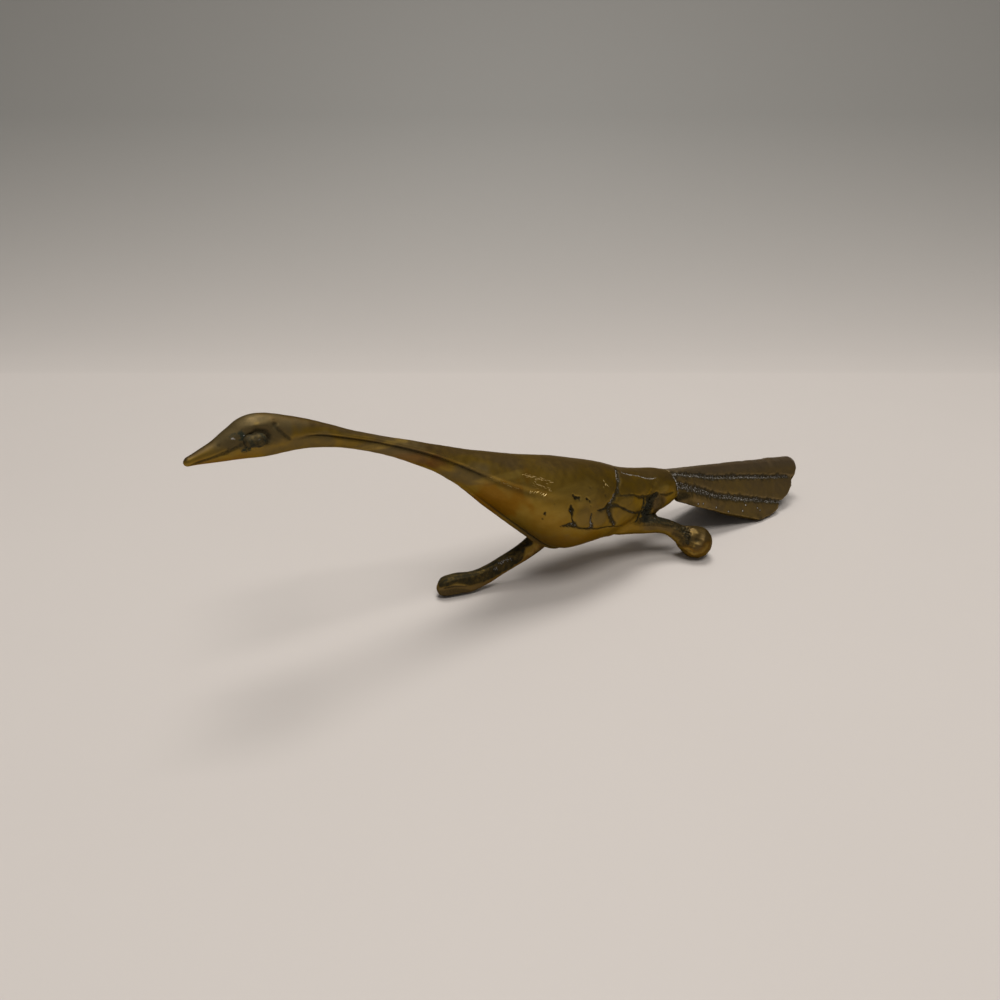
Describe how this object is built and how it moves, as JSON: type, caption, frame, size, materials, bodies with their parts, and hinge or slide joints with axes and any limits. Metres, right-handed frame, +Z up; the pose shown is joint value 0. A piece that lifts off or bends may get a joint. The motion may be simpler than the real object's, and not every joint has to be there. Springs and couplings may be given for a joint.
{
  "type": "roadrunner figurine",
  "caption": "Solid brass figurine of a running roadrunner with its neck stretched out, a long bill, a straight front leg, a clubbed hind leg and an arched, fanned tail.",
  "frame": {"origin": "centre of the figurine's box, on the floor it stands on", "axes": "+Z up, the bird looks and runs along -X, its left side is -Y"},
  "size_m": [0.246, 0.0392, 0.0787],
  "materials": {
    "aged_brass": "aged, hand-filed and rubbed bright on the high places",
    "tail_brass": "aged, dark in the feather grooves",
    "eye_brass": "rough, dulled and greenish",
    "raw_brass": "plain turned brass, hidden"
  },
  "bodies": {
    "root": {"left_half": "aged_brass", "right_half": "aged_brass", "front_leg": "aged_brass", "rear_leg": "aged_brass", "tail_fan": "tail_brass", "left_eye": "eye_brass", "right_eye": "eye_brass", "breast_dowel": "raw_brass", "rump_dowel": "raw_brass"}
  },
  "joints": []
}
